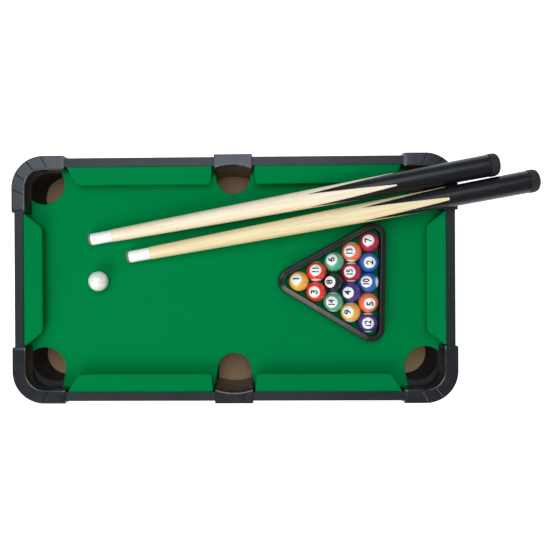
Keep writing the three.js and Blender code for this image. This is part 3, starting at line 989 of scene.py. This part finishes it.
def cap_mesh(stations, foot, lip_foot):
    bm = bmesh.new()
    loops = [add_loop(bm, cap_section(station, foot, lip_foot)) for station in stations]
    join_loops(bm, loops)
    bm.faces.new(loops[0])
    bm.faces.new(loops[-1])
    return bm


def fan_angles():
    """(angle, groove depth) of the fan's stations, close together and exact at each groove."""
    stations = [(FAN_FROM + 2.5 * i, 0.0) for i in range(int((FAN_TO - FAN_FROM) / 2.5) + 1)]
    near = 2 * GROOVE_HALF_TURN
    stations = [s for s in stations if all(abs(s[0] - g) > near for g in FAN_GROOVES)]
    for groove in FAN_GROOVES:
        stations += [(groove - GROOVE_HALF_TURN, 0.0), (groove, GROOVE_DEPTH)]
        stations.append((groove + GROOVE_HALF_TURN, 0.0))
    return sorted(stations)


def corner_cap_stations():
    """From the end of the arm along Y, round the corner, to the end of the arm along X."""
    outer_x, outer_y = CORNER_CAP_HIGH.xy
    inner_x = outer_x - CAP_RADIUS + CAP_INNER_RADIUS
    inner_y = outer_y - CAP_RADIUS + CAP_INNER_RADIUS
    tapers = [(0, CAP_END_DROP), (0.4 * MM, CAP_END_DROP * 0.75)]
    tapers += [(CAP_CREASE, 0), (CAP_CREASE + 0.6 * MM, 0)]
    stations = []
    for inset, drop in tapers:
        y = CORNER_CAP_LOW.y + inset
        stations.append({"outer": (outer_x, y), "inner": (inner_x, y), "drop": drop})
    for angle, groove in fan_angles():
        ray = math.radians(angle)
        outer = to_corner(FAN_POINT, ray, CAP_RADIUS)
        inner = to_corner(FAN_POINT, ray, CAP_INNER_RADIUS)
        stations.append({"outer": outer, "inner": inner, "groove": groove})
    for inset, drop in reversed(tapers):
        x = CORNER_CAP_LOW.x + inset
        stations.append({"outer": (x, outer_y), "inner": (x, inner_y), "drop": drop})
    for station in stations:
        station["lip"] = CAP_LIP
    return stations


def middle_cap_stations():
    """Along X: the inner edge is hollowed towards the pocket, and the ends are rounded over."""
    half = MIDDLE_CAP_HIGH.x
    ends = [(0, 0.9 * MM, 0.7 * MM), (0.25 * MM, 0.35 * MM, 0.25 * MM), (0.8 * MM, 0, 0)]
    inside = [((half - 1.6 * MM) * (i / 12 - 1), 0, 0) for i in range(25)]
    left = [(inset - half, drop, pull) for inset, drop, pull in ends]
    right = [(half - inset, drop, pull) for inset, drop, pull in reversed(ends)]
    stations = []
    for x, drop, pull in left + inside + right:
        inner_y = MIDDLE_CAP_LOW.y + MIDDLE_CAP_HOLLOW * (1 - (x / half) ** 2)
        stations.append(
            {
                "outer": (x, MIDDLE_CAP_HIGH.y - pull),
                "inner": (x, inner_y),
                "lip": FIELD_HALF.y - inner_y,
                "drop": drop,
            }
        )
    return stations


def add_caps():
    for corner, side_x, side_y in CORNERS:
        bm = cap_mesh(corner_cap_stations(), CORNER_CAP_LOW.z, CLOTH_TOP)
        mirror(bm, side_x, side_y)
        node = f"corner_cap_{corner}"
        add_piece(bm, f"{node}_moulding", "table", [CAP_PLASTIC], [node], sharp=25)
    for side, side_y in SIDES:
        bm = cap_mesh(middle_cap_stations(), MIDDLE_SKIRT_BOTTOM, BOARD_LEVEL)
        mirror(bm, 1, side_y)
        node = f"middle_cap_{side}"
        add_piece(bm, f"{node}_moulding", "table", [CAP_PLASTIC], [node], sharp=25)


# ---- Feet -----------------------------------------------------------------------------------


def add_feet():
    for corner, _, _ in CORNERS:
        node = f"foot_{corner}"
        top = box(node)[1].z
        centre = Matrix.Translation(MIDDLE + Vector((*middle_of(node).xy, 0)))
        recess = SCREW_HEAD_RADIUS + HOLE_PLAY
        bore = SCREW_RADIUS + HOLE_PLAY
        profile = [
            (recess, 0.5 * MM),
            (recess + 0.5 * MM, 0),
            (FOOT_RADIUS - 1.2 * MM, 0),
            (FOOT_RADIUS - 0.5 * MM, 0.25 * MM),
            (FOOT_RADIUS - 0.1 * MM, 1 * MM),
            (FOOT_RADIUS - 1.5 * MM, top - 0.5 * MM),
            (FOOT_RADIUS - 2 * MM, top),
            (bore, top),
            (bore, 3.5 * MM),
            (recess, 3.5 * MM),
        ]
        bm = bmesh.new()
        loops = turned_loops(bm, profile, 48)
        join_loops(bm, loops + loops[:1])
        add_piece(bm, f"rubber_{node}", "table", [RUBBER], [node], centre)
        add_screw(corner, centre)


def add_screw(corner, centre):
    """A pan-head wood screw, seen from below, with a cross recess and a thread."""
    node = f"foot_screw_{corner}"
    low, high = box(node)
    head_top = 3.4 * MM
    profile = [
        (0, low.z),
        (SCREW_HEAD_RADIUS * 0.55, low.z),
        (SCREW_HEAD_RADIUS * 0.85, low.z + 0.35 * MM),
        (SCREW_HEAD_RADIUS, low.z + 1.1 * MM),
        (SCREW_HEAD_RADIUS, head_top),
        (SCREW_RADIUS * 0.8, head_top),
    ]
    turns = 5
    for turn in range(turns):
        height = head_top + (high.z - 1.2 * MM - head_top) * (turn + 0.5) / turns
        profile += [(SCREW_RADIUS, height), (SCREW_RADIUS * 0.72, height + 0.5 * MM)]
    profile.append((0, high.z))
    bm = bmesh.new()
    turned(bm, profile, sides=32)
    screw = add_piece(bm, f"steel_screw_{corner}", "table", [STEEL], [node], centre)

    cutter_mesh = bmesh.new()
    for turn in (0, 90):
        size = (SCREW_HEAD_RADIUS * 1.15, SCREW_HEAD_RADIUS * 0.26, 1.6 * MM)
        made = bmesh.ops.create_cube(cutter_mesh, size=1)["verts"]
        bmesh.ops.scale(cutter_mesh, vec=size, verts=made)
        turn_matrix = Matrix.Rotation(math.radians(turn + 45), 3, "Z")
        bmesh.ops.rotate(cutter_mesh, matrix=turn_matrix, verts=made)
    cut_recess(screw, cutter_mesh, low.z)


def cut_recess(screw, cutter_mesh, height):
    """Cuts the cross recess into a screw's head with a boolean that is applied at once."""
    cutter = new_object("recess", cutter_mesh)
    cutter.matrix_world = screw.matrix_world @ Matrix.Translation((0, 0, height))
    modifier = screw.modifiers.new("recess", "BOOLEAN")
    modifier.object = cutter
    modifier.operation = "DIFFERENCE"
    modifier.use_self = True
    bpy.context.view_layer.update()
    evaluated = screw.evaluated_get(bpy.context.evaluated_depsgraph_get())
    cut = bpy.data.meshes.new_from_object(evaluated)
    screw.modifiers.clear()
    screw.data = cut
    bpy.data.objects.remove(cutter)


# ---- Balls ----------------------------------------------------------------------------------

# Number to (colour slot, screen colour). A ball over eight is a stripe of the colour eight lower.
BALL_COLOURS = {
    1: ("ball_yellow", colour(255, 188, 84)),
    2: ("ball_blue", colour(52, 108, 194)),
    3: ("ball_red", colour(248, 62, 50)),
    4: ("ball_purple", colour(74, 56, 140)),
    5: ("ball_orange", colour(255, 128, 84)),
    6: ("ball_green", colour(98, 182, 142)),
    7: ("ball_maroon", colour(188, 40, 76)),
    8: ("ball_black", colour(28, 30, 36)),
}
# Where each number has come to rest: how far its disc sits from the side that faces the camera,
# in ball radii to the right and up.
BALL_LEANS = {
    1: (-0.30, 0.26),
    2: (0.11, 0.00),
    3: (-0.20, -0.05),
    4: (-0.31, -0.06),
    5: (0.19, -0.14),
    6: (-0.26, 0.24),
    7: (-0.09, 0.24),
    8: (-0.43, 0.00),
    9: (-0.29, 0.01),
    10: (-0.23, 0.09),
    11: (-0.10, 0.17),
    12: (0.02, -0.08),
    13: (-0.21, 0.10),
    14: (-0.19, -0.03),
    15: (-0.16, 0.02),
}
STRIPE_ACROSS = (10,)
WHITE_POLE = 33
DISC_HALF_TURN = 34.5
# Height and width of a digit and how much its strokes are thickened, as a share of the type
# size, for numbers of one and two digits.
DIGIT_SHAPES = {1: (8.4 * MM, 5.5 * MM, 0.025), 2: (7.6 * MM, 4.2 * MM, 0.035)}
# Width and height of a thickened digit of the font, as shares of the type size.
DIGIT_RATIO = (0.5, 0.76)
DISC_PROUD = 0.02 * MM
INK_PROUD = 0.05 * MM


def square_axes(normal, towards):
    """Two axes across a normal: the first as near as it can be to a direction."""
    first = (towards - normal * towards.dot(normal)).normalized()
    return first, normal.cross(first)


def on_sphere(axes, polar_turn, around, radius):
    """A point of a sphere from its pole's axes: (pole, first, second)."""
    pole, first, second = axes
    across = first * math.cos(around) + second * math.sin(around)
    return (pole * math.cos(polar_turn) + across * math.sin(polar_turn)) * radius


def sphere(bm, radius, axes, bands, sides=64):
    """A sphere in bands, each (first turn, last turn, steps, material), from pole to pole."""
    edge = None
    for first_turn, last_turn, steps, material in bands:
        loops = [edge] if edge else []
        for step in range(1 if edge or first_turn == 0 else 0, steps + 1):
            turn = math.radians(first_turn + (last_turn - first_turn) * step / steps)
            if turn < math.pi - 1e-6:
                ring = [on_sphere(axes, turn, math.tau * s / sides, radius) for s in range(sides)]
                loops.append(add_loop(bm, ring))
        join_loops(bm, loops, material=material)
        if first_turn == 0:
            fan(bm, loops[0], axes[0] * radius, material)
        if last_turn == 180:
            fan(bm, loops[-1], axes[0] * -radius, material)
        edge = loops[-1]


def number_disc(bm, radius, axes, material, sides=48):
    """A thin round cap, slightly proud of the ball, that carries the number."""
    reach = math.radians(DISC_HALF_TURN)
    proud, sunk = radius + DISC_PROUD, radius - 0.1 * MM
    rings = [(reach * share, proud) for share in (0.2, 0.4, 0.6, 0.8, 0.92, 1.0)]
    loops = []
    for turn, distance in rings + [(reach, sunk)]:
        ring = [on_sphere(axes, turn, math.tau * s / sides, distance) for s in range(sides)]
        loops.append(add_loop(bm, ring))
    join_loops(bm, loops, material=material)
    fan(bm, loops[0], axes[0] * proud, material)
    fan(bm, loops[-1], axes[0] * (sunk - 1 * MM), material)


def number_outline(number):
    """A flat mesh of a number, with its strokes thickened, centred on the origin."""
    high, wide, thickening = DIGIT_SHAPES[len(str(number))]
    text = bpy.data.curves.new("number", "FONT")
    text.body = str(number)
    text.size = high / DIGIT_RATIO[1]
    text.space_character = 0.92
    text.offset = thickening * text.size
    text.extrude = 0.5
    letters = bpy.data.objects.new("number", text)
    scene.collection.objects.link(letters)
    bpy.context.view_layer.update()
    evaluated = letters.evaluated_get(bpy.context.evaluated_depsgraph_get())
    mesh = bpy.data.meshes.new_from_object(evaluated)
    bpy.data.objects.remove(letters)
    mesh.transform(Matrix.Diagonal((wide / (text.size * DIGIT_RATIO[0]), 1, 1, 1)))
    return mesh


def print_number(bm, number, radius, axes, material):
    """Wraps a number round the ball, with its foot in the disc and its face slightly proud."""
    mesh = number_outline(number)
    flat = bmesh.new()
    flat.from_mesh(mesh)
    bpy.data.meshes.remove(mesh)
    low = Vector(min(v.co[axis] for v in flat.verts) for axis in range(3))
    high = Vector(max(v.co[axis] for v in flat.verts) for axis in range(3))
    middle = (low + high) / 2
    bmesh.ops.translate(flat, vec=-middle, verts=flat.verts)
    step = 0.6 * MM
    reach = int(max(high.x - low.x, high.y - low.y) / step) + 1
    for axis in (Vector((1, 0, 0)), Vector((0, 1, 0))):
        for cut in range(-reach, reach + 1):
            geometry = flat.verts[:] + flat.edges[:] + flat.faces[:]
            bmesh.ops.bisect_plane(flat, geom=geometry, plane_co=axis * cut * step, plane_no=axis)
    bmesh.ops.remove_doubles(flat, verts=flat.verts, dist=1e-6)
    copies = {}
    for vertex in flat.verts:
        across, height = Vector((vertex.co.x, vertex.co.y)), vertex.co.z
        around = math.atan2(across.y, across.x)
        reach_out = radius + (INK_PROUD if height > 0 else -0.05 * MM)
        copies[vertex] = bm.verts.new(on_sphere(axes, across.length / radius, around, reach_out))
    for face in flat.faces:
        copy = bm.faces.new([copies[vertex] for vertex in face.verts])
        copy.material_index = material
    flat.free()


def add_ball(number):
    node = f"ball_{number:02d}"
    low, high = box(node)
    centre, radius = (low + high) / 2, (high.z - low.z) / 2
    lean_x, lean_y = BALL_LEANS[number]
    sight = (CAMERA_PLACE - centre).normalized()
    right, up = square_axes(sight, Vector((1, 0, 0)))
    depth = math.sqrt(1 - lean_x**2 - lean_y**2)
    face = (right * lean_x + up * lean_y + sight * depth).normalized()
    # The number reads towards the back, so the top of its digits points to the left.
    axes = (face, *square_axes(face, Vector((0, 1, 0))))

    slot, tone = BALL_COLOURS[number if number <= 8 else number - 8]
    looks = [bpy.data.materials.get(f"{slot}_resin") or ball_resin(f"{slot}_resin", tone)]
    looks += [BALL_WHITE, INK]
    bm = bmesh.new()
    if number > 8:
        towards = Vector((1, 0, 0)) if number in STRIPE_ACROSS else Vector((0, 1, 0))
        pole, first = square_axes(face, towards)
        far_pole = 180 - WHITE_POLE
        bands = [(0, WHITE_POLE, 6, 1), (WHITE_POLE, far_pole, 20, 0), (far_pole, 180, 6, 1)]
        sphere(bm, radius, (pole, first, pole.cross(first)), bands)
    else:
        sphere(bm, radius, axes, [(0, 180, 32, 0)])
    number_disc(bm, radius, axes, 1)
    print_number(bm, number, radius, axes, 2)
    place = Matrix.Translation(MIDDLE + centre)
    add_piece(bm, f"numbered_{node}", node, looks, [node], place, sharp=60)


def add_balls():
    for number in sorted(BALL_LEANS):
        add_ball(number)
    low, high = box("cue_ball")
    bm = bmesh.new()
    axes = (Vector((0, 0, 1)), Vector((1, 0, 0)), Vector((0, 1, 0)))
    sphere(bm, (high.z - low.z) / 2, axes, [(0, 180, 40, 0)])
    place = Matrix.Translation(MIDDLE + (low + high) / 2)
    add_piece(bm, "polished_cue_ball", "cue_ball", [BALL_WHITE], ["cue_ball"], place)


# ---- Rack -----------------------------------------------------------------------------------


def rack_loop(centre, point, corner_radius, height, steps=14):
    """A triangle at one height whose round corners are about a point and its two turned copies."""
    loop = []
    for third in range(3):
        towards = math.atan2(point.y, point.x) + math.tau * third / 3
        corner = centre + polar(towards, point.length)
        turns = arc(corner, corner_radius, towards - math.pi / 3, towards + math.pi / 3, steps)
        loop += [(turn.x, turn.y, height) for turn in turns]
    return loop


def add_rack():
    low, high = box("rack")
    tall = high.z - low.z
    middles = [middle_of(f"ball_{number:02d}").xy for number in BALL_LEANS]
    centre = sum(middles, Vector((0, 0))) / len(middles)
    apex = min(middles, key=lambda middle: middle.x)
    point = apex - centre
    point = point.normalized() * (point.length + 2 * (RACK_INSIDE - RACK_INNER_RADIUS))
    # (distance out from the inside wall, height over the cloth)
    section = [
        (0.3 * MM, 0),
        (0, 0.3 * MM),
        (0, tall - 0.9 * MM),
        (0.15 * MM, tall - 0.35 * MM),
        (0.5 * MM, tall - 0.05 * MM),
        (0.85 * MM, tall),
        (1.15 * MM, tall - 0.1 * MM),
        (1.4 * MM, tall - 0.3 * MM),
        (5.5 * MM, tall - 0.9 * MM),
        (6.05 * MM, tall - 1.2 * MM),
        (6.35 * MM, tall - 2.0 * MM),
        (6.8 * MM, 3 * MM),
        (6.95 * MM, 1.5 * MM),
        (7.25 * MM, 0.9 * MM),
        (7.2 * MM, 0.3 * MM),
        (6.9 * MM, 0),
    ]
    bm = bmesh.new()
    loops = []
    for out, height in section:
        loops.append(add_loop(bm, rack_loop(centre, point, RACK_INNER_RADIUS + out, low.z + height)))
    join_loops(bm, loops + loops[:1])
    add_piece(bm, "rack_moulding", "rack", [RACK_PLASTIC], ["rack"], sharp=50)


# ---- Cues -----------------------------------------------------------------------------------

# Each cue's wood, and its splice: where the black points start and the pale ones end, as shares
# of the cue's length from the tip, how far the pale points are turned from the top, in degrees,
# and how many sides of the stick their blunt ends take on each side.
CUES = {
    "cue_1": {
        "wood": (colour(253, 241, 218), colour(242, 220, 182)),
        "splice": (0.548, 0.757),
        "turn": 20,
        "blunt": 1,
    },
    "cue_2": {
        "wood": (colour(249, 233, 190), colour(235, 210, 158)),
        "splice": (0.584, 0.788),
        "turn": 15,
        "blunt": 2,
    },
}
CUE_SIDES = 96


def centroid(node):
    """The middle of a node's separate points, which is on the axis of a turned piece."""
    points = {vertex.co.to_tuple(5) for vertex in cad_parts[node].data.vertices}
    return sum((Vector(point) for point in points), Vector()) / len(points)


def cue_frame(cue):
    """A matrix with its origin at the tip's end, Z along the cue and X upwards."""
    start, far = centroid(f"{cue}_ferrule"), centroid(f"{cue}_bumper")
    along = (far - start).normalized()
    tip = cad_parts[f"{cue}_tip"].data.vertices
    origin = start + along * min((vertex.co - start).dot(along) for vertex in tip)
    upward, sideways = square_axes(along, Vector((0, 0, 1)))
    turn = Matrix((upward, sideways, along)).transposed().to_4x4()
    return Matrix.Translation(origin) @ turn


def span(node, place):
    """Where a CAD node starts and ends along a cue's Z."""
    inverse = place.inverted()
    heights = [(inverse @ vertex.co).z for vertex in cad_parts[node].data.vertices]
    return min(heights), max(heights)


def cue_radius(share):
    taper = CUE_TIP_RADIUS + (CUE_BUTT_RADIUS - CUE_TIP_RADIUS) * share
    return taper + 4 * CUE_SWELL * share * (1 - share)


def splice_share(side, facts):
    """Where the black lacquer starts on a side of the cue: a zigzag of four blunt points."""
    quarter = CUE_SIDES // 4
    place = (side - round(facts["turn"] / 360 * CUE_SIDES)) % quarter
    from_pale = max(0, min(place, quarter - place) - facts["blunt"])
    black_start, pale_end = facts["splice"]
    return pale_end - (pale_end - black_start) * from_pale / (quarter / 2 - facts["blunt"])


def add_stick(cue, facts, place, length):
    """The stick: pale wood up to the splice and black lacquer behind it, in one turned piece."""
    start, end = span(f"{cue}_stick", place)
    chamfer = 0.3 * MM
    bm = bmesh.new()

    def ring(distances, inset=0.0):
        points = []
        for side, distance in enumerate(distances):
            point = polar(math.tau * side / CUE_SIDES, cue_radius(distance / length) - inset)
            points.append((point.x, point.y, distance))
        return add_loop(bm, points)

    splice = [splice_share(side, facts) * length for side in range(CUE_SIDES)]
    first, last = [start + chamfer] * CUE_SIDES, [end - chamfer] * CUE_SIDES

    def between(low, high, rows):
        return [[a + (b - a) * row / rows for a, b in zip(low, high)] for row in range(rows + 1)]

    wood = [ring([start] * CUE_SIDES, chamfer)] + [ring(row) for row in between(first, splice, 24)]
    black = [wood[-1]] + [ring(row) for row in between(splice, last, 16)[1:]]
    black.append(ring([end] * CUE_SIDES, chamfer))
    join_loops(bm, wood, material=0)
    join_loops(bm, black, material=1)
    fan(bm, wood[0], (0, 0, start), 0)
    fan(bm, black[-1], (0, 0, end), 1)
    looks = [cue_wood(f"{cue}_lacquered_wood", *facts["wood"]), LACQUER]
    add_piece(bm, f"{cue}_spliced_stick", cue, looks, [f"{cue}_stick"], place)


def add_cue_ends(cue, place):
    """The leather tip, the ferrule and the rubber bumper."""
    low, high = span(f"{cue}_tip", place)
    rim = CUE_TIP_RADIUS
    turns = [math.radians(degrees) for degrees in range(0, 81, 16)]
    dome = [(rim * math.sin(turn), low + 1.7 * MM * (1 - math.cos(turn))) for turn in turns]
    bm = bmesh.new()
    turned(bm, dome + [(rim * 1.005, low + 1.9 * MM), (rim * 0.99, high), (0, high)])
    add_piece(bm, f"{cue}_leather_tip", cue, [LEATHER], [f"{cue}_tip"], place)

    low, high = span(f"{cue}_ferrule", place)
    edge = 0.25 * MM
    bm = bmesh.new()
    profile = [(0, low), (rim - edge, low), (rim, low + edge)]
    profile += [(rim, high - edge), (rim - edge, high), (0, high)]
    turned(bm, profile)
    add_piece(bm, f"{cue}_turned_ferrule", cue, [FERRULE], [f"{cue}_ferrule"], place)

    low, high = span(f"{cue}_bumper", place)
    rim = CUE_BUTT_RADIUS + 0.25 * MM
    bm = bmesh.new()
    profile = [
        (0, low),
        (rim - 0.4 * MM, low),
        (rim, low + 0.4 * MM),
        (rim, high - 6.2 * MM),
        (rim * 0.985, high - 4.6 * MM),
        (rim * 0.95, high - 3.2 * MM),
        (rim * 0.88, high - 1.9 * MM),
        (rim * 0.76, high - 0.85 * MM),
        (rim * 0.6, high - 0.25 * MM),
        (rim * 0.42, high),
        (2.6 * MM, high),
        (2.2 * MM, high - 0.4 * MM),
        (2.0 * MM, high - 2.5 * MM),
        (0, high - 2.5 * MM),
    ]
    turned(bm, profile)
    add_piece(bm, f"{cue}_rubber_bumper", cue, [RUBBER], [f"{cue}_bumper"], place)


def add_cues():
    for cue, facts in CUES.items():
        place = cue_frame(cue)
        length = span(f"{cue}_bumper", place)[1]
        add_stick(cue, facts, place, length)
        add_cue_ends(cue, place)


# ---- Everything -----------------------------------------------------------------------------

add_camera()
add_studio()
add_bottom_board()
add_frame()
add_playfield()
add_liners()
add_cushions()
add_caps()
add_feet()
add_balls()
add_rack()
add_cues()
